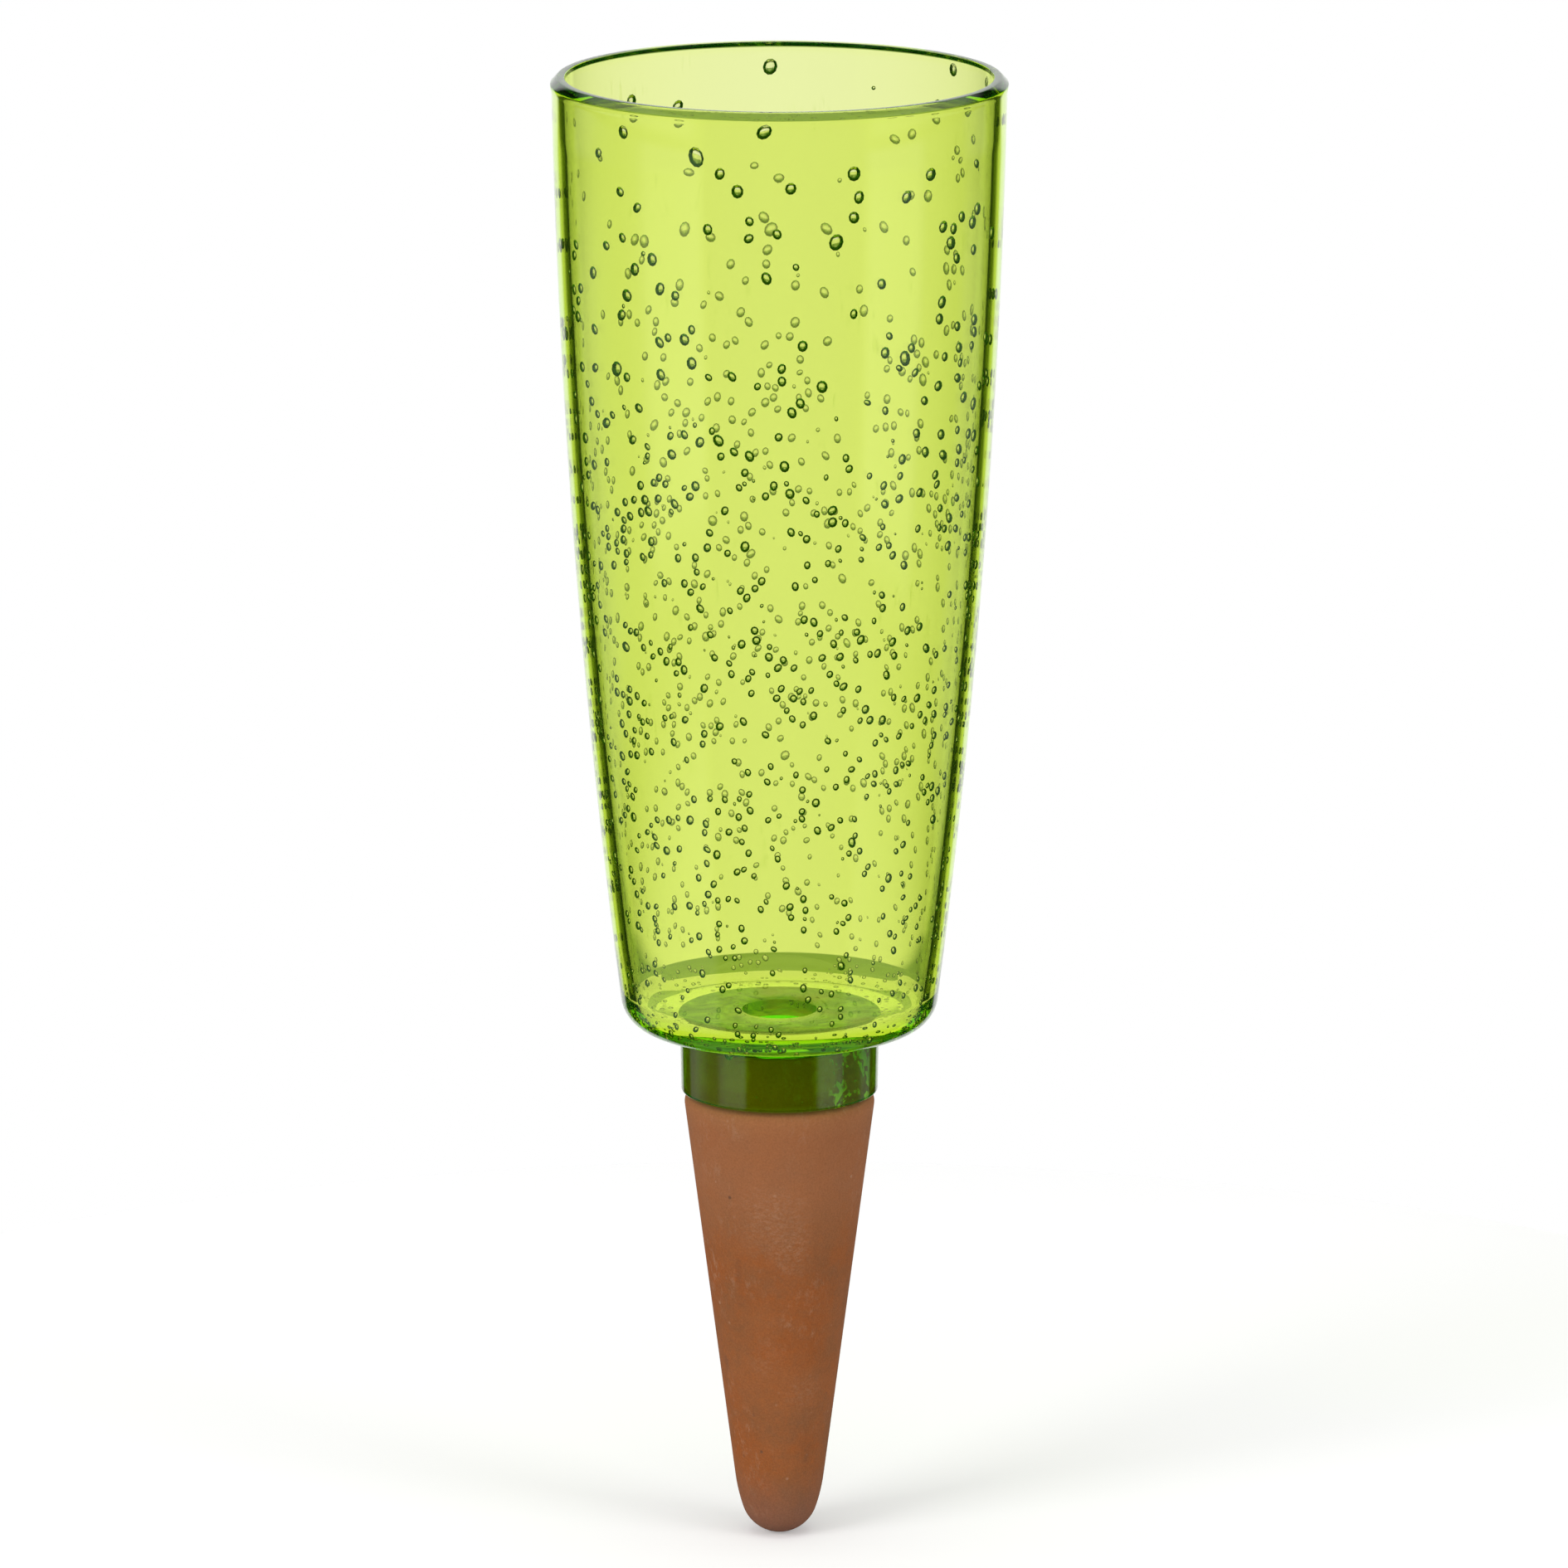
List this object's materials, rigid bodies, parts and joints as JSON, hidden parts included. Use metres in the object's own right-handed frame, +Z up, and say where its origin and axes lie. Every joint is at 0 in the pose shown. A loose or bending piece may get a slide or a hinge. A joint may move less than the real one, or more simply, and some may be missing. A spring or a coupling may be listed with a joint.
{
  "type": "self watering spike",
  "caption": "Open tapered tumbler full of air bubbles, with a drain hole and a socket collar under its floor that holds a hollow porous clay cone for pushing into soil.",
  "frame": {"origin": "on the axis, in the plane of the socket collar's underside, where the surface of the soil lies when the clay cone is pushed in", "axes": "+Z up along the axis, from the clay tip towards the open mouth; X and Y are free because the object is a body of revolution"},
  "size_m": [0.1, 0.1, 0.3311],
  "materials": {
    "green_tumbler": "transparent yellow-green, polished, with air bubbles in the wall",
    "green_collar": "transparent green, polished, no bubbles",
    "clear_adhesive": "cured clear adhesive, slightly mottled",
    "terracotta": "unglazed, fine grained, matte"
  },
  "bodies": {
    "root": {"reservoir": "green_tumbler", "base_bond": "clear_adhesive", "socket_collar": "green_collar", "neck_bond": "clear_adhesive", "clay_cone": "terracotta"}
  },
  "joints": []
}
